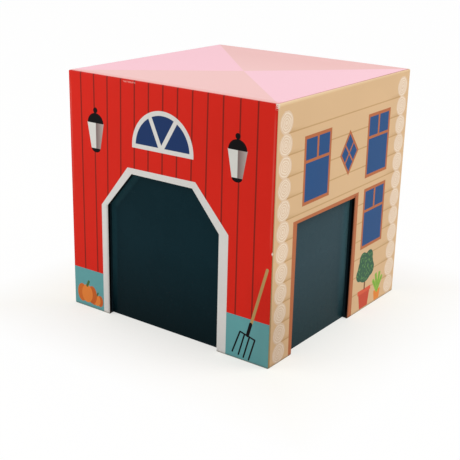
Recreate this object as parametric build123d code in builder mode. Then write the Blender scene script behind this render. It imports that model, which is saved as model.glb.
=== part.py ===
from build123d import *
from math import atan2, degrees, hypot, sqrt
import os

os.makedirs("parts", exist_ok=True)

# A toy barn: a greyboard cube, open underneath, papered outside and inside. A barn doorway with
# cut-off top corners is in the front wall and a square garage doorway in the right-hand wall.
# Each is closed from inside by one papered leaf, which turns inwards on a wooden rod.
# Millimetres. The rim stands on z = 0, the front faces -Y and the garage side +X, and the
# origin is the centre of the footprint.

# ---- the cube
box_width = 160.0           # left to right, over the papers
box_depth = 160.0           # front to back, over the papers
box_height = 160.0          # rim to roof card
board = 1.5                 # greyboard of the walls and the roof
paper = 0.2                 # laminated paper, outside and inside
roof_card = 0.35            # thin card of the roof
roof_margin = 0.8           # wall paper left showing round the roof card
edge_round = 0.7            # outside radius of a papered edge
rim_trim = 0.4              # papers are cut this far above the rim
turn_in = 6.0               # wall paper folded onto the inside round a doorway
tape = 0.15                 # gummed tape pressed into the boards over each upright corner
tape_leg = 14.0             # tape on each side of the corner
tape_end = 3.0              # bare board above and below the tape

# ---- the doorways, each seen from outside, along its own wall
barn_way_width = 89.5
barn_way_height = 100.9
barn_way_shoulder = 76.6    # where the sides end and the cut-off corners begin
barn_way_top = 48.3         # level stretch between the cut-off corners
barn_way_centre = -3.2      # to the left of the middle of the front
garage_way_width = 69.3
garage_way_height = 85.1
garage_way_centre = -20.2   # towards the front of the right-hand wall

# ---- the doors
door_board = 1.5            # greyboard of a leaf
door_lap = 5.0              # leaf behind the wall, at the top and the free side
door_turn_in = 5.0          # door paper folded onto the back of the leaf
floor_gap = 0.3             # leaf above the table
stop_width = 4.0            # stop strips, flush with the doorway's edge
stop_joint = 0.2            # open joint where two strips meet
door_gap = 0.2              # strip to closed leaf

# ---- the hinges
rod_diameter = 3.5
rod_clear = 0.75            # cloth on the rod to the wall's lining
journal_diameter = 2.4      # turned ends of the rod
journal_length = 4.0
journal_chamfer = 0.3
running_fit = 0.05          # radial, journal to bore
shoulder_gap = 0.15         # rod's shoulder to the block
edge_gap = 0.05             # rod to the edge of the leaf
cloth = 0.25                # bookcloth round the rod
cloth_bridge = 1.2          # leaf's edge to where the cloth comes down on its face
cloth_glue = 4.0            # cloth glued to each face of the leaf
cloth_end = 0.6             # leaf's edge left bare above and below the cloth
block_width = 11.0          # wooden pivot block, along the wall
block_depth = 6.0           # away from the wall
block_floor = 1.85          # wood past the end of the bore
block_space = 2.0           # stop strips to the pivot blocks
block_round = 1.0           # sanded inner corners
bore_bottom = 0.3           # bore deeper than the journal
block_clear = 0.6           # leaf to block

# ---- worked out from those
board_width = box_width - 2 * paper
board_depth = box_depth - 2 * paper
board_round = edge_round - paper
roof_top = box_height - roof_card
wall_top = roof_top - board
inner_face = paper + board                     # depth of the boards' inner face in a wall
lining_face = inner_face + paper
room_width = box_width - 2 * inner_face
room_depth = box_depth - 2 * inner_face
leaf = door_board + 2 * paper
rod_radius = rod_diameter / 2
journal_radius = journal_diameter / 2
axis_depth = lining_face + rod_clear + cloth + rod_radius
leaf_face = axis_depth - leaf / 2
stop_board = leaf_face - lining_face - door_gap    # board strips that reach the leaf
hinge_reach = stop_width + block_space + block_width / 2
bore_depth = journal_length - shoulder_gap + bore_bottom
block_height = bore_depth + block_floor
leaf_edge = rod_radius + edge_gap
cloth_touchdown = leaf_edge + cloth_bridge         # measured from the axis
cloth_reach = cloth_touchdown + cloth_glue
hinge_extra = hinge_reach - leaf_edge - door_lap   # leaf behind the wall, more at the hinge
block_sweep = hypot(block_width / 2, lining_face + block_depth - axis_depth) + block_clear
notch_top = floor_gap + block_height + block_clear
mitre_depth = 2 * edge_round + roof_margin         # papers' mitres reach past their fold
beyond = 20.0                                  # cutting shapes run past the rim or a corner
proud = 1.0                                    # cutting shapes stand off the face they enter
wide = 2 * (box_width + box_depth)             # cutting shapes reach past the whole wall

# Each wall has a plane on its papered face: x along the wall, y up, z out of the barn.
front_face = Plane(origin=(0, -box_depth / 2, 0), x_dir=(1, 0, 0), z_dir=(0, -1, 0))
right_face = Plane(origin=(box_width / 2, 0, 0), x_dir=(0, 1, 0), z_dir=(1, 0, 0))


def keep(piece, label):
    """Name a finished piece and write it out."""
    piece.part.label = label
    export_step(piece.part, f"parts/{label}.step")


def barn_outline(extra=0.0):
    """The barn doorway from its hinge side round to the other, with the hinge side moved out."""
    half, level = barn_way_width / 2, barn_way_top / 2
    slope = (barn_way_height - barn_way_shoulder) / (half - level)
    return [
        (barn_way_centre - half - extra, -beyond),
        (barn_way_centre - half - extra, barn_way_shoulder - extra * slope),
        (barn_way_centre - level, barn_way_height),
        (barn_way_centre + level, barn_way_height),
        (barn_way_centre + half, barn_way_shoulder),
        (barn_way_centre + half, -beyond),
    ]


def garage_outline(extra=0.0):
    """The garage doorway from its hinge side round to the other, hinge side moved out."""
    half = garage_way_width / 2
    return [
        (garage_way_centre + half + extra, -beyond),
        (garage_way_centre + half + extra, garage_way_height),
        (garage_way_centre - half, garage_way_height),
        (garage_way_centre - half, -beyond),
    ]


def opening(plane, points, grown=0.0, foot=0.0):
    """The doorway as a face on a plane, grown all round and cut off level at its foot."""
    with BuildSketch(plane) as face:
        with BuildLine():
            Polyline(*points, close=True)
        make_face()
        if grown:
            offset(amount=grown, kind=Kind.INTERSECTION)
        with Locations((points[0][0], foot - beyond)):
            Rectangle(wide, 2 * beyond, mode=Mode.SUBTRACT)
    return face.sketch


def cut_doorway(plane, points, grown=0.0):
    """Take the doorway, grown all round, out of the piece being made."""
    cutter = opening(plane.offset(proud), points, grown, foot=-proud)
    extrude(cutter, amount=-lining_face - 2 * proud, mode=Mode.SUBTRACT)


# ---- corner tapes: each is an L of gummed kraft tape round the outside of an upright corner
corner_signs = {
    "front_left": (-1, -1),
    "front_right": (1, -1),
    "back_left": (-1, 1),
    "back_right": (1, 1),
}
with BuildPart() as tape_ring:
    with BuildSketch(Plane.XY.offset(tape_end)):
        RectangleRounded(board_width, board_depth, board_round)
        RectangleRounded(
            board_width - 2 * tape, board_depth - 2 * tape, board_round - tape, mode=Mode.SUBTRACT
        )
        Rectangle(board_width - 2 * tape_leg, board_depth, mode=Mode.SUBTRACT)
        Rectangle(board_width, board_depth - 2 * tape_leg, mode=Mode.SUBTRACT)
    extrude(amount=wall_top - 2 * tape_end)

for corner, (side, end) in corner_signs.items():
    with BuildPart() as corner_tape:
        with BuildSketch(Plane.XY.offset(tape_end)):
            with Locations((side * board_width / 2, end * board_depth / 2)):
                Rectangle(2 * tape_leg, 2 * tape_leg)
        extrude(amount=wall_top - 2 * tape_end)
        add(tape_ring.part, mode=Mode.INTERSECT)
    keep(corner_tape, f"{corner}_corner_tape")

# ---- wall boards: the front and back run the full width, the sides butt between them
for wall, end in (("front", -1), ("back", 1)):
    with BuildPart() as wall_board:
        with BuildSketch():
            with Locations((0, end * (board_depth - board) / 2)):
                Rectangle(board_width, board)
            outer = vertices().group_by(Axis.Y)[0 if end < 0 else -1]
            fillet(outer, board_round)
        extrude(amount=wall_top)
        add(tape_ring.part, mode=Mode.SUBTRACT)
        if wall == "front":
            cut_doorway(front_face, barn_outline(), paper)
    keep(wall_board, f"{wall}_wall_board")

for wall, side in (("left", -1), ("right", 1)):
    with BuildPart() as wall_board:
        with BuildSketch():
            with Locations((side * (board_width - board) / 2, 0)):
                Rectangle(board, room_depth)
        extrude(amount=wall_top)
        add(tape_ring.part, mode=Mode.SUBTRACT)
        if wall == "right":
            cut_doorway(right_face, garage_outline(), paper)
    keep(wall_board, f"{wall}_wall_board")

# ---- roof board: lies on the wall boards, its top edge rounded over
with BuildPart() as roof_board:
    with BuildSketch(Plane.XY.offset(wall_top)):
        RectangleRounded(board_width, board_depth, board_round)
    extrude(amount=board)
    fillet(faces().sort_by(Axis.Z)[-1].edges(), board_round)
keep(roof_board, "roof_board")

# ---- roof card: printed card inside the margin of wall paper
with BuildPart() as roof_sheet:
    with BuildSketch(Plane.XY.offset(roof_top)):
        RectangleRounded(
            box_width - 2 * roof_margin, box_depth - 2 * roof_margin, edge_round
        )
    extrude(amount=roof_card)
keep(roof_sheet, "roof_card")

# ---- wall papers: one sheet a wall, folded over the roof's edge and mitred at the corners
with BuildPart() as paper_shell:
    with BuildSketch(Plane.XY.offset(rim_trim)):
        RectangleRounded(box_width, box_depth, edge_round)
    extrude(amount=roof_top + paper - rim_trim)
    fillet(faces().sort_by(Axis.Z)[-1].edges(), edge_round)
    with BuildSketch(Plane.XY.offset(roof_top)):
        Rectangle(box_width - 2 * roof_margin, box_depth - 2 * roof_margin)
    extrude(amount=paper, mode=Mode.SUBTRACT)

with BuildPart() as board_body:
    with BuildSketch():
        RectangleRounded(board_width, board_depth, board_round)
    extrude(amount=roof_top)
    fillet(faces().sort_by(Axis.Z)[-1].edges(), board_round)

# Walls in turn, anticlockwise from above: each is modelled as if in front, then turned.
walls = ("front", "right", "back", "left")
doorways = {"front": (front_face, barn_outline()), "right": (right_face, garage_outline())}
for quarter, wall in enumerate(walls):
    turned = quarter * 360 / len(walls)
    length, across = (box_depth, box_width) if quarter % 2 else (box_width, box_depth)
    half, face_at = length / 2, -across / 2
    with BuildPart() as wall_paper:
        add(paper_shell.part)
        add(board_body.part, mode=Mode.SUBTRACT)
        with BuildSketch(Plane.XY.rotated((0, 0, turned))):
            with BuildLine():
                Polyline(
                    (-half - proud, face_at - proud),
                    (half + proud, face_at - proud),
                    (half - mitre_depth, face_at + mitre_depth),
                    (-half + mitre_depth, face_at + mitre_depth),
                    close=True,
                )
            make_face()
        extrude(amount=box_height, mode=Mode.INTERSECT)
        if wall in doorways:
            plane, points = doorways[wall]
            cut_doorway(plane, points)
            extrude(opening(plane, points, paper, rim_trim), amount=-lining_face)
            extrude(
                opening(plane.offset(-inner_face), points, turn_in, rim_trim), amount=-paper
            )
            cut_doorway(plane, points)
    keep(wall_paper, f"{wall}_wall_paper")

# ---- linings: dark paper on the inner faces, cut round the wall paper's turn-in
lining_top = wall_top - paper
for quarter, wall in enumerate(walls):
    turned = quarter * 360 / len(walls)
    length, across = (box_depth, box_width) if quarter % 2 else (box_width, box_depth)
    sheet = length - 2 * (lining_face if quarter % 2 else inner_face)
    with BuildPart() as lining:
        with BuildSketch(Plane.XY.offset(rim_trim).rotated((0, 0, turned))):
            with Locations((0, -across / 2 + inner_face + paper / 2)):
                Rectangle(sheet, paper)
        extrude(amount=lining_top - rim_trim)
        if wall in doorways:
            cut_doorway(*doorways[wall], turn_in)
    keep(lining, f"{wall}_lining")

with BuildPart() as roof_lining:
    with BuildSketch(Plane.XY.offset(lining_top)):
        Rectangle(room_width, room_depth)
    extrude(amount=paper)
keep(roof_lining, "roof_lining")


# ---- doors
def make_stops(name, wall, points, joints):
    """Papered strips of board round the doorway, inside: the leaf closes against them."""
    back = wall.offset(-lining_face)
    with BuildPart() as stops:
        extrude(opening(back, points, stop_width, floor_gap), amount=-stop_board)
        extrude(
            opening(back, points, foot=floor_gap), amount=-stop_board, mode=Mode.SUBTRACT
        )
        with BuildSketch(back):
            for corner, angle in joints:
                with Locations(corner):
                    Rectangle(4 * stop_width, stop_joint, rotation=angle)
        extrude(amount=-stop_board, mode=Mode.SUBTRACT)
    keep(stops, f"{name}_door_stops")


def make_door(name, wall, side, outline, way_edge, hinge_top, rise):
    """One leaf with its rod, its cloth and the blocks that the rod turns in.

    side is -1 where the hinge is at the low end of the wall's own x, and +1 at the high end.
    way_edge is the doorway's edge there, hinge_top the top of the leaf's edge at the rod, and
    rise how steeply the top of the leaf climbs away from it.
    """
    axis_x = way_edge + side * hinge_reach

    def on_axis(height):
        return wall.from_local_coords((axis_x, height, -axis_depth))

    def leaf_shape(depth, inset=0.0):
        """The leaf as a face at a depth in the wall, notched to clear the lower block."""
        with BuildSketch(wall.offset(-depth)) as shape:
            with BuildLine():
                Polyline(*outline(hinge_extra), close=True)
            make_face()
            offset(amount=door_lap, kind=Kind.INTERSECTION)
            with Locations((axis_x, floor_gap - 2 * beyond)):
                Rectangle(wide, 4 * beyond, mode=Mode.SUBTRACT)
            with Locations((axis_x, 0)):
                Rectangle(2 * block_sweep, 2 * notch_top, mode=Mode.SUBTRACT)
            if inset:
                offset(amount=-inset, kind=Kind.INTERSECTION)
        return shape.sketch

    board_face = leaf_face + paper
    back_face = board_face + door_board

    with BuildPart() as door_leaf:
        extrude(leaf_shape(board_face, paper), amount=-door_board)
    keep(door_leaf, f"{name}_door_board")

    with BuildPart() as door_back:
        extrude(leaf_shape(back_face, door_turn_in), amount=-paper)
    keep(door_back, f"{name}_door_back_paper")

    with BuildPart() as door_paper:
        extrude(leaf_shape(leaf_face), amount=-leaf)
        extrude(leaf_shape(board_face, paper), amount=-door_board, mode=Mode.SUBTRACT)
        extrude(leaf_shape(back_face, door_turn_in), amount=-paper, mode=Mode.SUBTRACT)
    keep(door_paper, f"{name}_door_paper")

    # The rod stands on the lower block and reaches up to the upper one, past the leaf.
    lower_top = floor_gap + block_height
    upper_foot = hinge_top + (block_sweep - rod_radius) * rise + block_clear
    shoulder_low = lower_top + shoulder_gap
    shoulder_high = upper_foot - shoulder_gap
    tip_low = shoulder_low - journal_length
    tip_high = shoulder_high + journal_length
    with BuildPart() as rod:
        with BuildSketch(wall.offset(-axis_depth)):
            with BuildLine():
                Polyline(
                    (axis_x, tip_low),
                    (axis_x + journal_radius - journal_chamfer, tip_low),
                    (axis_x + journal_radius, tip_low + journal_chamfer),
                    (axis_x + journal_radius, shoulder_low),
                    (axis_x + rod_radius, shoulder_low),
                    (axis_x + rod_radius, shoulder_high),
                    (axis_x + journal_radius, shoulder_high),
                    (axis_x + journal_radius, tip_high - journal_chamfer),
                    (axis_x + journal_radius - journal_chamfer, tip_high),
                    (axis_x, tip_high),
                    close=True,
                )
            make_face()
        revolve(axis=Axis(on_axis(0), (0, 0, 1)))
    keep(rod, f"{name}_hinge_rod")

    # The cloth goes round the rod, comes together and is glued to both faces of the leaf.
    cloth_foot = notch_top + cloth_end
    across_wall = Plane(
        origin=on_axis(cloth_foot), x_dir=wall.x_dir * -side, z_dir=(0, 0, 1)
    )

    def sleeve(growth, end):
        """The rod and the leaf's edge in plan, joined by tangents, grown by a thickness."""
        with BuildSketch(across_wall) as plan:
            Circle(rod_radius + growth)
            with Locations((cloth_touchdown / 2, 0)):
                Rectangle(cloth_touchdown, leaf + 2 * growth)
            make_hull(plan.edges())
            with Locations((end / 2, 0)):
                Rectangle(end, leaf + 2 * growth)
        return plan.sketch

    with BuildPart() as hinge_cloth:
        cloth_height = hinge_top - cloth_end - cloth_foot
        extrude(sleeve(cloth, cloth_reach), amount=cloth_height)
        extrude(sleeve(0, cloth_reach + proud), amount=cloth_height, mode=Mode.SUBTRACT)
    keep(hinge_cloth, f"{name}_hinge_cloth")

    blocks = (("lower", floor_gap, lower_top, 1), ("upper", upper_foot, upper_foot, -1))
    for level, foot, mouth, facing in blocks:
        with BuildPart() as pivot_block:
            with BuildSketch(wall.offset(-lining_face)):
                with Locations((axis_x, foot + block_height / 2)):
                    Rectangle(block_width, block_height)
            extrude(amount=-block_depth)
            inner = faces().sort_by(Axis((0, 0, 0), wall.z_dir))[0]
            fillet(inner.edges().filter_by(Axis.Z), block_round)
            with Locations(Plane(origin=on_axis(mouth), z_dir=(0, 0, facing))):
                Hole(journal_radius + running_fit, depth=bore_depth)
        keep(pivot_block, f"{name}_{level}_pivot_block")


# The stops' strips are mitred at the doorway's corners, halfway between their directions.
barn_slope = (barn_way_height - barn_way_shoulder) / ((barn_way_width - barn_way_top) / 2)
lean = degrees(atan2(barn_slope, 1))
barn_corners = barn_outline()[1:5]
barn_joints = list(zip(barn_corners, (180 - (90 - lean) / 2, 90 + lean / 2,
                                      90 - lean / 2, (90 - lean) / 2)))
make_stops("barn", front_face, barn_outline(), barn_joints)
make_stops("garage", right_face, garage_outline(), list(zip(garage_outline()[1:3], (45, 135))))

make_door(
    "barn",
    front_face,
    -1,
    barn_outline,
    way_edge=barn_way_centre - barn_way_width / 2,
    hinge_top=barn_way_shoulder
    - hinge_extra * barn_slope
    + door_lap * (sqrt(1 + barn_slope**2) - barn_slope),
    rise=barn_slope,
)
make_door(
    "garage",
    right_face,
    1,
    garage_outline,
    way_edge=garage_way_centre + garage_way_width / 2,
    hinge_top=garage_way_height + door_lap,
    rise=0.0,
)
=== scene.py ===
import math

import bpy
from mathutils import Matrix, Vector


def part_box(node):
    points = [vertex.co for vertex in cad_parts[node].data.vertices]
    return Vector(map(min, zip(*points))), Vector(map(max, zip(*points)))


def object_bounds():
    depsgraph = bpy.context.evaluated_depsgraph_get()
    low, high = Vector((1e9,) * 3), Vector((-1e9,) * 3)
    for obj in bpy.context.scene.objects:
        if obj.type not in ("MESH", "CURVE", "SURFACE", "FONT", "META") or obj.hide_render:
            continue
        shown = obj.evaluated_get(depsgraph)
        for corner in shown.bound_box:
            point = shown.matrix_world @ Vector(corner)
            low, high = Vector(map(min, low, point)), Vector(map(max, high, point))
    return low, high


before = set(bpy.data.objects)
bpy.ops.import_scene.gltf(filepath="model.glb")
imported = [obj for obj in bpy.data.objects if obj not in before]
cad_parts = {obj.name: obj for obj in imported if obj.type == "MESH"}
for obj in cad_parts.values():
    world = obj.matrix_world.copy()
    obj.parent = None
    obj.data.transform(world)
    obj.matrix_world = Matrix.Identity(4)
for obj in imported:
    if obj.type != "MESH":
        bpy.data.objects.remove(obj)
solid_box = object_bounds()
bpy.ops.object.select_all(action="DESELECT")


# ---- Wall and roof boards, and the boards of the two leaves
# Grey board, 1.5 mm, pressed from waste paper: a dull warm grey with pale and dark flecks and
# short fibres. It is glued up into the box and papered, so it shows only at the rim.
class Signal:
    """A value that varies over a surface. Sums on it add Math nodes to its material."""

    def __init__(self, tree, socket=None):
        self.tree, self.socket = tree, socket

    def node(self, kind, sockets=(), out=0, **settings):
        """Any other node: its settings first, then its sockets' values or links."""
        made = self.tree.nodes.new("ShaderNode" + kind)
        for name, setting in settings.items():
            setattr(made, name, setting)
        for name, value in dict(sockets).items():
            if isinstance(value, Signal):
                self.tree.links.new(value.socket, made.inputs[name])
            else:
                made.inputs[name].default_value = value
        return Signal(self.tree, made.outputs[out])

    def sum_of(self, operation, *others, use_clamp=False):
        """A Math node on this value and the others."""
        values = enumerate((self, *others))
        return self.node("Math", values, operation=operation, use_clamp=use_clamp)

    def __add__(self, other):
        return self.sum_of("ADD", other)

    def __sub__(self, other):
        return self.sum_of("SUBTRACT", other)

    def __rsub__(self, other):
        return self.sum_of("MULTIPLY_ADD", -1, other)

    def __mul__(self, other):
        return self.sum_of("MULTIPLY", other)

    def __truediv__(self, other):
        return self.sum_of("DIVIDE", other)

    def __mod__(self, other):
        return self.sum_of("FLOORED_MODULO", other)

    def __pow__(self, other):
        return self.sum_of("POWER", other)

    def __and__(self, other):
        return self.sum_of("MINIMUM", other)

    def __or__(self, other):
        return self.sum_of("MAXIMUM", other)

    def __abs__(self):
        return self.sum_of("ABSOLUTE")

    __radd__, __rmul__ = __add__, __mul__

    def ink(self, soft=0.14):
        """From a distance inside an outline, in mm, to 1 inside and 0 outside."""
        return self.sum_of("MULTIPLY_ADD", 1 / soft, 0.5, use_clamp=True)

    def ramp(self, reach):
        """From a distance, in mm, to a share of this reach, kept between 0 and 1."""
        return self.sum_of("DIVIDE", reach, use_clamp=True)

    def off_middle(self, pitch):
        """Where steps of this pitch repeat, how far a value is past the middle of its own."""
        return self % pitch - pitch / 2

    def over(self, under, mask):
        """This colour laid over another where the mask is 1."""
        return mask.node("Mix", {0: mask, 6: under, 7: self}, out=2, data_type="RGBA")

    def axis(self, name):
        """How far places lie along X, Y or Z."""
        return self.node("SeparateXYZ", {0: self}, out=name)

    def scaled(self, x, y, z):
        """Places scaled along each axis, which draws out or squeezes the noise on them."""
        return self.node("Mapping", {"Vector": self, "Scale": (x, y, z)})

    def noise(self, size, detail=2.0, roughness=0.5):
        """Soft noise round 0.5 with blotches of about this size, in mm."""
        return self.node(
            "TexNoise",
            {"Vector": self, "Scale": 1 / size, "Detail": detail, "Roughness": roughness},
        )


def srgb(red, green, blue):
    """A colour as a mixer of inks writes it, 0 to 255, as the shader needs it."""
    parts = (channel / 255 for channel in (red, green, blue))
    return tuple(p / 12.92 if p <= 0.04045 else ((p + 0.055) / 1.055) ** 2.4 for p in parts)


def start_finish(name, specular):
    """A new finish: its material, its shader, and places on the piece in mm."""
    made = bpy.data.materials.new(name)
    made.use_nodes = True
    shader = made.node_tree.nodes["Principled BSDF"]
    shader.inputs["Specular IOR Level"].default_value = specular
    places = Signal(made.node_tree).node("TexCoord", out="Object")
    places = places.node("VectorMath", {0: places, "Scale": 1000.0}, operation="SCALE")
    return made, shader, places


def plain(places, shade):
    """One flat colour, as the first layer of a print."""
    colour = places.node("RGB")
    colour.socket.default_value = (*srgb(*shade), 1)
    return colour


def paint(under, mask, shade):
    """A flat ink over a colour, where the mask is 1."""
    return plain(under, shade).over(under, mask)


def end_finish(made, shader, nodes, colour, roughness, height_mm):
    """Feed the shader, and give the finish to CAD nodes. The height is relief in mm."""
    bump = colour.node("Bump", {"Distance": 0.001, "Height": height_mm})
    for name, value in (("Base Color", colour), ("Roughness", roughness), ("Normal", bump)):
        made.node_tree.links.new(value.socket, shader.inputs[name])
    for node in nodes:
        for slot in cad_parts[node].material_slots:
            slot.material = made


BOARDS = [f"{wall}_wall_board" for wall in ("front", "right", "back", "left")]
BOARDS += ["roof_board", "barn_door_board", "garage_door_board"]
GREY, CLOUD = (146, 138, 125), (122, 115, 104)
PALE_FLECK, DARK_FLECK, STRAW = (186, 178, 164), (88, 82, 76), (168, 156, 136)
made, shader, places = start_finish("greyboard", specular=0.2)
cloudy, fleck, grit = places.noise(9.0), places.noise(0.55, 3.0, 0.7), places.noise(0.16, 2.0)
fibres = places.scaled(1.0, 1.0, 9.0).noise(1.6, 3.0)
colour = paint(plain(places, GREY), cloudy * 0.45, CLOUD)
colour = paint(colour, (fleck - 0.62).ink(0.10) * 0.7, PALE_FLECK)
colour = paint(colour, (0.36 - fleck).ink(0.08) * 0.6, DARK_FLECK)
colour = paint(colour, (fibres - 0.60).ink(0.12) * 0.4, STRAW)
end_finish(made, shader, BOARDS, colour, 0.86 + grit * 0.1, fibres * 0.05 + grit * 0.03)


# ---- Corner tapes
# Gummed brown kraft tape, wetted and pressed into the corners where the boards butt. It has
# long fibres that run along the tape and faint lines from the paper machine. The wall papers
# cover it.
CORNERS = ("front_left", "front_right", "back_left", "back_right")
TAPES = [f"{corner}_corner_tape" for corner in CORNERS]
KRAFT, PALE_FIBRE, DARK_FIBRE = (172, 132, 92), (196, 158, 118), (140, 102, 68)
WIRE = 1.3                      # from line to line, in mm
made, shader, places = start_finish("kraft_tape", specular=0.25)
fibres = places.scaled(1.0, 1.0, 0.15).noise(0.5, 3.0)
wires = abs(places.axis("Z").off_middle(WIRE)) * 0.5
colour = paint(plain(places, KRAFT), (fibres - 0.52).ink(0.2) * 0.5, PALE_FIBRE)
colour = paint(colour, (0.42 - fibres).ink(0.15) * 0.5, DARK_FIBRE)
end_finish(made, shader, TAPES, colour, 0.6 + fibres * 0.2, fibres * 0.03 + wires * 0.02)


# ---- Back wall paper
# Each wall has one sheet of printed paper under a wavy, finely grained satin film, folded over
# the roof's edge and mitred at the corners. This one is red boarding over a teal base band,
# with no opening.
HALF = solid_box[1][0] * 1000   # half the box's side, in mm
TOP = solid_box[1][2] * 1000
RISE = 0.009                    # the prints climb a little towards their right-hand end
GLOSS = 0.07                    # specular level of the film over the prints
LOW_CHIP = 73.0                 # height of the lower chip in the front right edge
HIGHLIGHT_HEIGHT, HIGHLIGHT_REACH = 115.0, 42.0     # where the upright edges get a painted highlight
PLANK = 11.23                   # width of a plank; the last three are wider
SEAMS = [10.7 + PLANK * number for number in range(11)] + [134.9, 147.0]
LEANING = (30, 120)             # the seams between these, over the doorway, lean a little
BASE_TOP = 27.95                # top of the teal band
RED, SEAM_BROWN, TEAL = (208, 34, 22), (126, 30, 22), (95, 156, 161)
# Colours of a random darker tone, the painted highlight on the upright edges, bare core paper and
# the painted shade along the foot.
SHADOW, EDGE_HIGHLIGHT, CHIPPED, FOOT_SHADE = (60, 30, 20), (240, 214, 200), (238, 228, 216), (84, 64, 46)


def film(places, colour):
    """Wear a print at the box's edges and paint light and shade on it; give it back with its
    roughness and its relief.
    """
    x, y, z = (places.axis(name) for name in "XYZ")
    to_edge = HALF - (abs(x) & abs(y))
    to_top = TOP - z
    knocked = x - y - (2 * HALF - 3.0)      # above 0 at the front right edge alone
    tone, rub = places.noise(38.0, 2.0), places.noise(0.9, 3.0, 0.65)
    ragged = (1.6 - to_edge) & (3.4 - to_top) & ((rub - 0.52) * 20)
    chips = ragged | (1.3 - to_edge - to_top) | (0.7 - to_edge - abs(z - LOW_CHIP) * 0.5)
    bare = (chips & knocked).ink(0.6)
    # Painted highlight along the rounded upright edges, strongest part way up.
    edge_highlight = (0.45 - abs(to_edge - 1.6)).ink(0.6) * (HIGHLIGHT_REACH - abs(z - HIGHLIGHT_HEIGHT)).ramp(10.0)
    edge_highlight = edge_highlight * (0.03 + (tone - 0.3) * 0.2)
    # Painted shade along the lowest millimetre, where the walls meet the table.
    foot = (1.2 - z).ink(1.0) * 0.3
    colour = paint(colour, (0.5 - tone).ink(0.5) * 0.05, SHADOW)
    colour = paint(colour, edge_highlight, EDGE_HIGHLIGHT)
    colour = paint(colour, bare, CHIPPED)
    colour = paint(colour, foot, FOOT_SHADE)
    waves, grain = places.noise(26.0, 1.0), places.noise(0.7, 2.0)
    return colour, 0.34 + grain * 0.1 + bare * 0.35, waves * 0.12 + grain * 0.0035 - bare * 0.03


def along_wall(places, wall, lean=0.0):
    """A wall's print: across from its left corner, seen from outside, and up, in mm."""
    x, y, z = (places.axis(name) for name in "XYZ")
    across = {"front": x + HALF, "right": y + HALF, "back": HALF - x, "left": HALF - y}[wall]
    return across + (z - HALF) * lean, z - (across - HALF) * RISE


def planks(u, v):
    """Red boarding above a teal base band, as on the front and the back."""
    aslant = u - (v - 146.0) * 0.013
    leans = (LEANING[0] < place < LEANING[1] for place in SEAMS)
    to_seams = [abs((aslant if lean else u) - place) for lean, place in zip(leans, SEAMS)]
    nearest = to_seams[0]
    for distance in to_seams[1:]:
        nearest = nearest & distance
    colour = paint(plain(u, RED), (0.5 - nearest).ink(0.45), SEAM_BROWN)
    return paint(colour, (BASE_TOP - v).ink(), TEAL)


made, shader, places = start_finish("back_print", specular=GLOSS)
u, v = along_wall(places, "back")
end_finish(made, shader, ["back_wall_paper"], *film(places, planks(u, v)))


# ---- Left wall paper
# A sheet like the back one, printed with hewn logs alone. Their sawn ends, with pale rings,
# are stacked at both of its corners.
LOG = 12.86                     # height of a log
LOWEST_SEAM = 13.45
STACKS = (9.9, 151.0)           # the middles of the sawn ends, across
SAWN_RADIUS = 6.75
RINGS = 1.55                    # from ring to ring
PINE, PINE_SHADE, SEAM_TAN = (223, 187, 146), (176, 136, 84), (194, 153, 104)
SAWN, RING = (230, 203, 177), (251, 236, 220)


def band(value, low, high):
    """Distance inside the strip between two values."""
    return (high - low) / 2 - abs(value - (low + high) / 2)


def far(across, up):
    """Distance from the middle of something, from how far across and up it is."""
    return (across * across + up * up) ** 0.5


def log_wall(u, v, places):
    """Hewn logs with their sawn ends stacked at both corners, as on the two sides."""
    rough, wobble = places.noise(1.5, 2.0), places.noise(3.2, 1.0)
    above_seam = (v - LOWEST_SEAM) % LOG
    past_ends = (u - STACKS[0]) & (STACKS[1] - u)       # from the stacks, towards the middle
    shade = (3.2 - above_seam).ramp(3.2) * (((20.0 - past_ends) / 14.0) | 0.0)
    shade = shade * (band(v, 13.0, 145.0) & past_ends).ink(1.0)
    colour = paint(plain(u, PINE), (shade & 1.0) * 0.42, PINE_SHADE)
    seam = 0.48 - abs(above_seam - 0.3) + (rough - 0.5) * 0.25
    seam = seam & band(v, 10.0, 144.0) & past_ends
    colour = paint(colour, seam.ink(0.4) * 0.8, SEAM_TAN)
    for middle in STACKS:
        away = far(u - middle, (v - 0.9).off_middle(LOG)) + (rough - 0.5) * 0.45
        stack = (SAWN_RADIUS - away) & band(v, 0.0, 155.5)
        colour = paint(colour, stack.ink(0.3), SAWN)
        ring = 0.27 - abs((away + (wobble - 0.5) * 1.5).off_middle(RINGS))
        colour = paint(colour, (ring & (stack - 0.5)).ink(0.35) * 0.8, RING)
    return colour


made, shader, places = start_finish("left_print", specular=GLOSS)
u, v = along_wall(places, "left", lean=0.01)
end_finish(made, shader, ["left_wall_paper"], *film(places, log_wall(u, v, places)))


# ---- Front wall paper
# Red boarding with a fan window over the doorway, a lamp on each side, a hay fork and two
# pumpkins. The doorway has a white surround, and the sheet's black flaps are turned in through
# it. The top fold is scuffed. Painted shade darkens the doorway's rolled edge on the hinge side,
# and the foot by the right-hand corner.
WHITE = (213, 212, 212)
BLACK = (1, 1, 3)
STOP = 4.0                      # width of a door stop, which is flush with the doorway
BARN_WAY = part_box("barn_door_stops")[0][0] * 1000 + STOP    # the hinge side, along x
SURROUND = [(26.85, -9), (128.3, -9), (128.5, 77.05), (103.3, 104.95), (49.4, 104.95),
            (26.7, 76.25)]
FAN, FAN_RADIUS, PANE_RADIUS, FAN_SILL = (77.6, 120.1), 24.1, 21.2, 118.55
SPOKES = (-24.5, 30.6)          # how far the fan window's two bars lean, in degrees
LAMPS = (22.8, 133.6)
TINES = (((138.8, 17.9), (133.5, 3.5)), ((142.3, 17.3), (138.1, 2.6)),
         ((145.9, 16.4), (141.8, 1.8)), ((149.8, 15.2), (145.7, 1.2)))
PUMPKINS = (((20.6, 7.1), 0.62), ((11.6, 10.0), 1.0))
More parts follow.
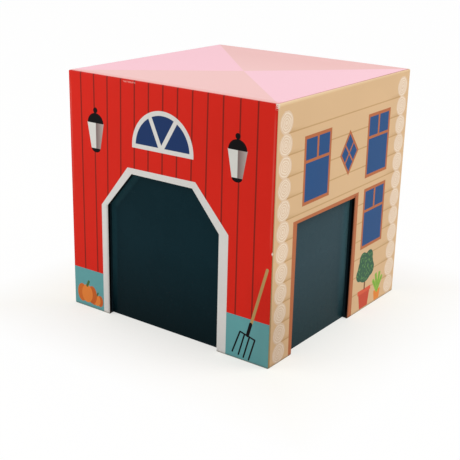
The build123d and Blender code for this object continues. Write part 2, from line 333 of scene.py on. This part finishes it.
LOBES = ((-4.6, 4.2, (201, 104, 44)), (4.6, 4.2, (190, 94, 40)), (0.0, 4.9, (222, 128, 58)))
NIGHT_BLUE, ASH, STEM_GREEN = (26, 52, 100), (178, 146, 94), (70, 104, 62)
GLASS_DIM, GLASS_EDGE, GLASS_LIT = (124, 107, 106), (172, 160, 157), (211, 211, 209)
# The scuff's colour, and the painted shades of the doorway's rolled edge and of the foot.
SCUFFED, ROLLED_EDGE_SHADE, CORNER_FOOT_SHADE = (240, 200, 190), (120, 116, 114), (60, 10, 0)


def disc(u, v, centre, radius):
    """Distance inside a circle."""
    return radius - far(u - centre[0], v - centre[1])


def oval(u, v, centre, half_width, half_height):
    """Distance inside an oval, true along its narrower way."""
    away = far((u - centre[0]) / half_width, (v - centre[1]) / half_height)
    return (1 - away) * min(half_width, half_height)


def beside(u, v, start, end):
    """Distance to the left of a line that runs from one point to another."""
    run, rise = end[0] - start[0], end[1] - start[1]
    length = math.hypot(run, rise)
    return (v - start[1]) * (run / length) - (u - start[0]) * (rise / length)


def outline(u, v, points):
    """Distance inside a convex outline, its points in order anticlockwise."""
    inside = None
    for start, end in zip(points, points[1:] + points[:1]):
        side = beside(u, v, start, end)
        inside = side if inside is None else inside & side
    return inside


def stroke(u, v, start, end, width):
    """Distance inside a pen stroke with round ends."""
    run, rise = end[0] - start[0], end[1] - start[1]
    length = math.hypot(run, rise)
    forward = ((u - start[0]) * run + (v - start[1]) * rise) / length
    past = (abs(forward - length / 2) - length / 2) | 0.0
    return width / 2 - far(past, beside(u, v, start, end))


def turned_in(depth, way):
    """The sheet's flaps, from just inside the face; way is the doorway, grown a little."""
    return (depth - 0.18).ink(0.1) * way.ink(1.0)


made, shader, places = start_finish("front_print", specular=GLOSS)
u, v = along_wall(places, "front")
colour = paint(planks(u, v), outline(u, v, SURROUND).ink(), WHITE)

stilts = band(u, FAN[0] - FAN_RADIUS, FAN[0] + FAN_RADIUS) & (FAN[1] - v)
arch = (disc(u, v, FAN, FAN_RADIUS) | stilts) & (v - FAN_SILL)
colour = paint(colour, arch.ink(), WHITE)
pane = disc(u, v, FAN, PANE_RADIUS) & (v - 121.35)
apex = (76.8, 119.9)
for lean in SPOKES:
    run = math.tan(math.radians(lean))
    pane = pane & (abs(beside(u, v, apex, (apex[0] + run, apex[1] + 1))) - 1.45)
colour = paint(colour, pane.ink(), NIGHT_BLUE)

for middle in LAMPS:
    a, w = u - middle, v - 0.05
    glass = outline(a, w, [(-3.8, 112.6), (3.8, 112.6), (7.0, 129.6), (-7.0, 129.6)])
    shaded = paint(plain(u, GLASS_DIM), (a - 0.6).ramp(5.5), GLASS_EDGE)
    lit = paint(shaded, (0.2 - a).ink(0.4), GLASS_LIT)
    colour = lit.over(colour, glass.ink())
    cap = oval(a, w, (0, 129.3), 6.7, 6.4) & (w - 129.3)
    foot = oval(a, w, (0, 112.9), 3.8, 2.6) & (112.9 - w)
    knob = disc(a, w, (0, 137.5), 1.8) | (band(a, -0.9, 0.9) & band(w, 134.0, 137.0))
    colour = paint(colour, (cap | foot | knob).ink(), BLACK)

handle = stroke(u, v, (156.9, 61.8), (146.9, 25.4), 2.0)
colour = paint(colour, handle.ink(), ASH)
fork = stroke(u, v, (146.5, 24.8), (144.4, 17.0), 2.3)
fork = fork | stroke(u, v, (139.0, 18.1), (149.7, 15.3), 1.1)
for start, end in TINES:
    fork = fork | stroke(u, v, start, end, 1.1)
colour = paint(colour, fork.ink(), BLACK)

for (middle, height), size in PUMPKINS:
    for shift, half_width, shade in LOBES:
        lobe = oval(u, v, (middle + shift * size, height), half_width * size, 6.4 * size)
        colour = paint(colour, lobe.ink(0.25), shade)
    top = (middle + 1.6 * size, height + 9.0 * size)
    stem = stroke(u, v, (middle, height + 5.8 * size), top, 1.9 * size)
    colour = paint(colour, stem.ink(), STEM_GREEN)

scuff = band(u, 46.5, 56.5) & band(v, 158.3, 159.2) & (places.noise(1.1, 2.0) - 0.45) * 9
colour = paint(colour, scuff.ink(0.5) * 0.35, SCUFFED)
# Painted shade on the doorway's rolled edge at the hinge side.
rolled_edge_shade = (2.0 - abs(places.axis("X") - BARN_WAY)).ramp(2.0) * (77.0 - v).ink()
colour = paint(colour, rolled_edge_shade * 0.45, ROLLED_EDGE_SHADE)
# Painted shade at the foot by the front right corner.
corner_foot_shade = (u - 140.0).ramp(14.0) * (60.0 - v).ramp(15.0)
colour = paint(colour, corner_foot_shade * 0.14, CORNER_FOOT_SHADE)
way = band(u, 29.0, 125.0) & (103.0 - v)
colour = paint(colour, turned_in(HALF + places.axis("Y"), way), BLACK)
end_finish(made, shader, ["front_wall_paper"], *film(places, colour))


# ---- Right wall paper
# Logs with three sash windows and a lozenge window in brown frames, a bush and a leafy plant
# in pots, and a brown surround round the garage doorway, with black flaps turned in through
# it. A painted highlight runs along the top fold, and painted shade darkens the doorway's rolled
# edge on the hinge side and the foot by the left-hand corner.
FRAME_BROWN = (186, 108, 68)
PANE_BLUE = (33, 79, 134)
BUSH_GREEN, LEAF_GREEN = (56, 98, 74), (96, 142, 84)
BLADE_GREEN, RIB_GREEN = (146, 190, 72), (96, 142, 56)
POT_RED, RIM_RED, POT_ORANGE, BARK = (206, 78, 56), (224, 96, 68), (232, 140, 60), (120, 74, 46)
# The painted shade by the near corner, the painted highlight along the top fold, and the painted
# shades of the doorway's rolled edge and of the foot.
CORNER_SHADE, FOLD_HIGHLIGHT = (146, 126, 78), (250, 224, 184)
ROLLED_EDGE_BROWN_SHADE, CORNER_FOOT_BROWN_SHADE = (60, 20, 5), (80, 30, 0)
GARAGE_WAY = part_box("garage_door_stops")[1][1] * 1000 - STOP    # the hinge side, along y
# Each sash window's left, right, low and high sides, its cross bar and its upright.
WINDOWS = ((29.8, 60.4, 94.9, 137.25, 121.5, 45.0), (105.8, 135.7, 95.1, 137.35, 121.75, 120.5),
           (106.1, 135.6, 45.3, 87.65, 71.85, 120.8))
LOZENGE = [(83.2, 102.25), (94.85, 116.9), (82.95, 131.7), (71.8, 116.8)]
LOZENGE_BARS = (((77.4, 123.2), (88.9, 109.8)), ((79.1, 111.6), (87.4, 122.2)))
BUSH = 115.5                    # the clipped bush's middle, across
TUFTS = (((108.5, 27.2), 5.4), ((122.1, 27.7), 5.6), ((111.5, 37.1), 5.0), ((119.9, 36.7), 5.2))
ROOT = (134.4, 7.5)             # where the leafy plant's blades start
BLADES = ((-0.62, 10.6), (-0.22, 13.6), (0.2, 13.0), (0.6, 10.2))     # tilts and lengths
made, shader, places = start_finish("right_print", specular=GLOSS)
u, v = along_wall(places, "right", lean=0.01)
colour = log_wall(u, v, places)

for left, right, low, high, bar, upright in WINDOWS:
    whole = band(u, left, right) & band(v, low, high)
    colour = paint(colour, whole.ink(), FRAME_BROWN)
    glass = (whole - 2.1) & (abs(v - bar) - 0.9)
    glass = glass & ((abs(u - upright) - 1.0) | (bar - v))
    colour = paint(colour, glass.ink(), PANE_BLUE)

whole = outline(u, v, LOZENGE)
colour = paint(colour, whole.ink(), FRAME_BROWN)
glass = whole - 1.7
for start, end in LOZENGE_BARS:
    glass = glass & (abs(beside(u, v, start, end)) - 0.6)
colour = paint(colour, glass.ink(), PANE_BLUE)

surround = band(u, 20.9, 98.9) & (87.6 - v)
colour = paint(colour, surround.ink(), FRAME_BROWN)

pot = outline(u - BUSH, v, [(-5.5, 0.9), (5.5, 0.9), (8.0, 12.7), (-8.0, 12.7)])
colour = paint(colour, pot.ink(), POT_RED)
rim = band(u, BUSH - 9.0, BUSH + 9.0) & band(v, 11.7, 14.7)
colour = paint(colour, rim.ink(), RIM_RED)
colour = paint(colour, stroke(u, v, (BUSH, 14.7), (BUSH, 21.7), 1.7).ink(), BARK)
bush = disc(u, v, (BUSH, 30.2), 10.6)
for middle, radius in TUFTS:
    bush = bush | disc(u, v, middle, radius)
colour = paint(colour, bush.ink(), BUSH_GREEN)
leaves = (places.noise(1.9, 1.0) - 0.58).ink(0.03)
colour = paint(colour, (bush - 0.8).ink() * leaves, LEAF_GREEN)

small_pot = outline(u - ROOT[0], v, [(-3.4, 0.7), (3.4, 0.7), (5.0, 8.1), (-5.0, 8.1)])
colour = paint(colour, small_pot.ink(), POT_ORANGE)
for tilt, length in BLADES:
    tip = (ROOT[0] + math.sin(tilt) * length, ROOT[1] + math.cos(tilt) * length)
    middle = ((tip[0] + ROOT[0]) / 2, (tip[1] + ROOT[1]) / 2)
    blade = stroke(u, v, ROOT, tip, 3.0) & (4.4 - far(u - middle[0], v - middle[1]) * 0.62)
    colour = paint(colour, blade.ink(), BLADE_GREEN)
    colour = paint(colour, stroke(u, v, ROOT, tip, 0.5).ink(), RIB_GREEN)

colour = paint(colour, (0.9 - u).ink(0.7) * 0.75, CORNER_SHADE)
y, z = (places.axis(name) for name in "YZ")
# Painted highlight along the top fold, wider and stronger towards the front.
fold_reach = 2.2 - u * 0.005
fold_highlight = (z - TOP + fold_reach).ramp(fold_reach) * (0.85 - u * 0.003)
colour = paint(colour, fold_highlight, FOLD_HIGHLIGHT)
# Painted shade on the doorway's rolled edge at the hinge side.
rolled_edge_shade = (2.0 - abs(y - GARAGE_WAY)).ramp(2.0) * (86.0 - v).ink()
colour = paint(colour, rolled_edge_shade * 0.6, ROLLED_EDGE_BROWN_SHADE)
# Painted shade at the foot by the front right corner.
corner_foot_shade = (32.0 - u).ramp(22.0) * (66.0 - v).ramp(44.0)
colour = paint(colour, corner_foot_shade * 0.27, CORNER_FOOT_BROWN_SHADE)
way = band(u, 23.0, 96.5) & (86.5 - v)
colour = paint(colour, turned_in(HALF - places.axis("X"), way), BLACK)
end_finish(made, shader, ["right_wall_paper"], *film(places, colour))


# ---- Roof card
# Thin card with the same satin film, printed as a hipped roof seen from above: two pink and
# two salmon slopes that meet a little off the middle. It is glued inside a margin of the
# wall papers. Its cut edge shows as a fine dark line. Painted shade, tinged with red, runs along
# its front edge, and painted shade darkens the far slope towards the back.
SIDE = 2 * HALF
CARD_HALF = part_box("roof_card")[1][0] * 1000
RIDGE = (84.0, 74.0)            # where the slopes meet, from the front left corner
SALMON, FAR_SALMON_SHADE = (243, 195, 192), (239, 187, 184)
LEFT_PINK, RIGHT_PINK = (250, 197, 209), (250, 200, 212)
CUT_EDGE, CORAL_EDGE_SHADE, EDGE_LINE, SPECK = (214, 150, 148), (236, 130, 110), (176, 98, 90), (255, 244, 242)
made, shader, places = start_finish("roof_print", specular=GLOSS)
u, w = (places.axis(name) + HALF for name in "XY")
left = beside(u, w, (0, 0), RIDGE) & beside(u, w, RIDGE, (0, SIDE))
right = beside(u, w, (SIDE, SIDE), RIDGE) & beside(u, w, RIDGE, (SIDE, 0))
# The far slope darkens towards the back: painted shade.
colour = paint(plain(places, SALMON), (w - RIDGE[1]).ramp(60.0), FAR_SALMON_SHADE)
colour = paint(colour, left.ink(0.3), LEFT_PINK)
colour = paint(colour, right.ink(0.3), RIGHT_PINK)
to_cut = CARD_HALF - (abs(u - HALF) | abs(w - HALF))
colour = paint(colour, (0.3 - to_cut).ink(0.3) * 0.5, CUT_EDGE)
# Painted shade, tinged with red, along the card's front edge.
colour = paint(colour, (8.0 - w).ramp(8.0) * 0.4, CORAL_EDGE_SHADE)
edge_line = (0.35 - (CARD_HALF + HALF - u)).ink(0.3)
colour = paint(colour, edge_line * (0.35 + w / 260.0), EDGE_LINE)
speck = places.noise(1.4, 2.0)
colour = paint(colour, (speck - 0.74).ink(0.02) * 0.3, SPECK)
waves, grain = places.noise(30.0, 1.0), places.noise(0.7, 2.0)
end_finish(made, shader, ["roof_card"], colour, 0.34 + grain * 0.1, waves * 0.1 + grain * 0.0035)


# ---- Linings and the backs of the leaves
# Dark teal paper, dull, with a felt texture. It is pasted over the boards inside the box, and
# over the back of each leaf once the leaf is wrapped.
LININGS = [f"{side}_lining" for side in ("front", "right", "back", "left", "roof")]
LININGS += ["barn_door_back_paper", "garage_door_back_paper"]
PETROL, PETROL_PALE, PETROL_DEEP = (22, 42, 50), (34, 58, 66), (16, 33, 40)
made, shader, places = start_finish("lining_paper", specular=0.25)
felt, cloud = places.noise(0.5, 3.0, 0.6), places.noise(14.0)
colour = paint(plain(places, PETROL), (felt - 0.45).ink(0.3) * 0.35, PETROL_PALE)
colour = paint(colour, cloud * 0.3, PETROL_DEEP)
end_finish(made, shader, LININGS, colour, 0.66 + felt * 0.16, felt * 0.012)


# ---- Door stops
# Strips of board, faced with dark teal paper and pasted round the inside of each doorway,
# flush with its edge. The paper is dull, and furry where it is cut.
STOP_TEAL, STOP_FUR = (12, 30, 37), (24, 44, 52)
made, shader, places = start_finish("stop_paper", specular=0.12)
fur = places.noise(0.35, 3.0, 0.65)
colour = paint(plain(places, STOP_TEAL), (fur - 0.5).ink(0.25) * 0.35, STOP_FUR)
end_finish(made, shader, ["barn_door_stops", "garage_door_stops"], colour, 0.6 + fur * 0.2,
           fur * 0.015)


# ---- Pivot blocks
# Small blocks of beech with short dark flecks, sanded round at the inner corners. One is
# glued to the lining at the foot of each leaf's rod and one at its head.
BLOCKS = [f"{door}_{level}_pivot_block" for door in ("barn", "garage")
          for level in ("lower", "upper")]
BEECH, BEECH_GRAIN, BEECH_FLECK = (214, 176, 130), (190, 148, 102), (150, 106, 66)
made, shader, places = start_finish("pivot_wood", specular=0.35)
grain = places.scaled(0.25, 0.25, 2.2).noise(0.8, 3.0)
flecks = places.scaled(0.5, 0.5, 4.0).noise(0.5, 1.0)
colour = paint(plain(places, BEECH), (grain - 0.5).ink(0.2) * 0.5, BEECH_GRAIN)
colour = paint(colour, (flecks - 0.66).ink(0.04) * 0.6, BEECH_FLECK)
end_finish(made, shader, BLOCKS, colour, 0.5 + grain * 0.16, grain * 0.02)


# ---- Hinge rods
# Turned birch dowels, with the fine grain running up them and faint rings from the tool.
# Their thinner ends stand in the pivot blocks' bores.
BIRCH, BIRCH_GRAIN = (224, 192, 148), (198, 160, 112)
TOOL_STEP = 0.4                 # from ring to ring of the turning tool
made, shader, places = start_finish("rod_wood", specular=0.35)
grain = places.scaled(2.0, 2.0, 0.12).noise(0.7, 3.0)
lathe = abs(places.axis("Z").off_middle(TOOL_STEP))
colour = paint(plain(places, BIRCH), (grain - 0.5).ink(0.2) * 0.5, BIRCH_GRAIN)
end_finish(made, shader, ["barn_hinge_rod", "garage_hinge_rod"], colour, 0.45 + grain * 0.15,
           grain * 0.015 + lathe * 0.02)


# ---- Leaf papers
# Each leaf is wrapped in dark teal paper and folded onto its back; the garage's is painted paler,
# as a painted reflection. The film over it is semi-gloss and very finely grained. Hands have
# rubbed it a little paler. Painted shade darkens it towards the foot, and painted light brightens
# it beside the stops on the hinge side, against the shadow that the doorway's side casts there.
CANTED = (-27.35, 100.9), (BARN_WAY, 76.6)      # the doorway's cut-off corner on that side
# Each leaf's ground, rubbed by hands, painted shade at the foot, and painted light by the stops.
BARN_TEALS = (9, 34, 42), (14, 40, 49), (4, 20, 25), (36, 70, 80)
# The garage's ground is painted paler than the barn's, as a painted reflection.
GARAGE_TEALS = (42, 66, 76), (48, 72, 82), (20, 46, 52), (66, 98, 108)
for door, (ground, rubbed, foot, stop_side_light) in (("barn", BARN_TEALS), ("garage", GARAGE_TEALS)):
    made, shader, places = start_finish(f"{door}_door_paper", specular=0.05)
    shader.inputs["Sheen Weight"].default_value = 0.05
    shader.inputs["Sheen Roughness"].default_value = 0.3
    shader.inputs["Sheen Tint"].default_value = (0.5, 0.8, 1.0, 1)
    shader.inputs["Specular Tint"].default_value = (0.55, 0.93, 1.0, 1)
    smear, grain, waves = places.noise(17.0, 3.0), places.noise(0.7, 2.0), places.noise(30.0, 1.0)
    x, y, z = (places.axis(name) for name in "XYZ")
    if door == "barn":
        to_stop, reach = abs((x - BARN_WAY) & beside(x, z, *CANTED)), 5.0
    else:
        to_stop, reach = abs(y - GARAGE_WAY), 9.5
    colour = paint(plain(places, ground), (smear - 0.45).ink(0.3) * 0.3, rubbed)
    # Painted shade towards the foot.
    colour = paint(colour, (55.0 - z).ramp(52.0), foot)
    # Painted light beside the hinge-side stops, where the doorway's side casts a shadow.
    colour = paint(colour, (reach - to_stop).ramp(reach) * z.ramp(35.0), stop_side_light)
    end_finish(made, shader, [f"{door}_door_paper"], colour,
               0.2 + grain * 0.07 + (smear - 0.5).ink(0.3) * 0.08, waves * 0.05 + grain * 0.002)


# ---- Hinge cloths
# Bookcloth in dark teal, a plain weave of fine cotton stiffened with size. It goes round the
# rod and is glued to both faces of the leaf.
THREAD = 0.5                    # from thread to thread
CLOTH_TEAL, THREAD_PALE = (18, 32, 36), (46, 66, 70)
made, shader, places = start_finish("hinge_cloth", specular=0.2)
x, y, z = (places.axis(name) for name in "XYZ")
weave = (abs((x + y).off_middle(THREAD)) | abs(z.off_middle(THREAD))) * 4
colour = paint(plain(places, CLOTH_TEAL), weave * 0.6, THREAD_PALE)
end_finish(made, shader, ["barn_hinge_cloth", "garage_hinge_cloth"], colour, 0.78 + weave * 0.1,
           weave * 0.05)


# ---- Floor, light and camera
# A wide white table under an even white studio light, with a soft lamp low at the left front
# and a larger one high at the right. The camera stands in front and to the right, a little
# above the barn.
AMBIENT = 0.58                  # the light that the white studio gives; it is seen at 1
NEAR_WHITE, FAR_WHITE = 0.58, 0.98      # how far the table's shades are whitened
AIM = Vector((0.0, 0.0, solid_box[1][2] / 2))   # the middle of the box, in metres
LAMP_SIZE = 0.5
SMALL_LAMP, LARGE_LAMP = ((-0.38, -0.42, 0.35), 1.45), ((0.6, 0.35, 0.85), 4.1)
EYE = (0.36048, -0.51024, 0.26336)
AROUND, ABOVE, ROLL = math.radians(35.85), math.radians(18.95), math.radians(-1.41)
SENSOR, LENS = 36.0, 74.93      # in mm
TABLE_WHITE, TABLE_CLOUD = (254, 251, 237), (251, 247, 230)


def in_view(tree):
    """1 for what is seen straight, in a gloss or through glass, and 0 for what it lights."""
    camera, gloss, through = (Signal(tree).node("LightPath", out=f"Is {ray} Ray")
                              for ray in ("Camera", "Glossy", "Transmission"))
    return camera | gloss | through


bpy.ops.mesh.primitive_circle_add(vertices=96, radius=6.0, fill_type="NGON")
table = bpy.context.object
table.name = "table"
made, shader, places = start_finish("white_table", specular=0.1)
cloudy, grain = places.noise(60.0), places.noise(1.1)
colour = paint(plain(places, TABLE_WHITE), cloudy * 0.2, TABLE_CLOUD)
end_finish(made, shader, [], colour, 0.78 + grain * 0.06, grain * 0.01)
x, y = (places.axis(name) for name in "XY")
clear = ((abs(x) | abs(y)) - HALF).ramp(70.0)       # from the walls' feet outwards
whiteness = in_view(made.node_tree) * (NEAR_WHITE + clear * (FAR_WHITE - NEAR_WHITE))
glow = whiteness.node("Emission", {"Color": (1, 1, 1, 1), "Strength": 1.0})
lit = Signal(made.node_tree, shader.outputs[0])
shown = glow.node("MixShader", {0: whiteness, 1: lit, 2: glow})
surface = made.node_tree.nodes["Material Output"].inputs["Surface"]
made.node_tree.links.new(shown.socket, surface)
table.data.materials.append(made)

world = bpy.data.worlds.new("studio")
bpy.context.scene.world = world
world.use_nodes = True
backdrop = world.node_tree.nodes["Background"]
strength = in_view(world.node_tree) * (1 - AMBIENT) + AMBIENT
backdrop.inputs["Color"].default_value = (1, 1, 1, 1)
world.node_tree.links.new(strength.socket, backdrop.inputs["Strength"])

for place, power in (SMALL_LAMP, LARGE_LAMP):
    bpy.ops.object.light_add(type="AREA", location=place)
    lamp = bpy.context.object
    lamp.data.shape, lamp.data.size, lamp.data.energy = "DISK", LAMP_SIZE, power
    lamp.rotation_euler = (AIM - lamp.location).to_track_quat("-Z", "Y").to_euler()

bpy.ops.object.camera_add()
camera = bpy.context.object
bpy.context.scene.camera = camera
camera.data.sensor_width, camera.data.lens = SENSOR, LENS
camera.matrix_world = (
    Matrix.Translation(EYE)
    @ Matrix.Rotation(AROUND, 4, "Z")
    @ Matrix.Rotation(math.pi / 2 - ABOVE, 4, "X")
    @ Matrix.Rotation(-ROLL, 4, "Z")
)
bpy.context.scene.view_settings.view_transform = "Standard"
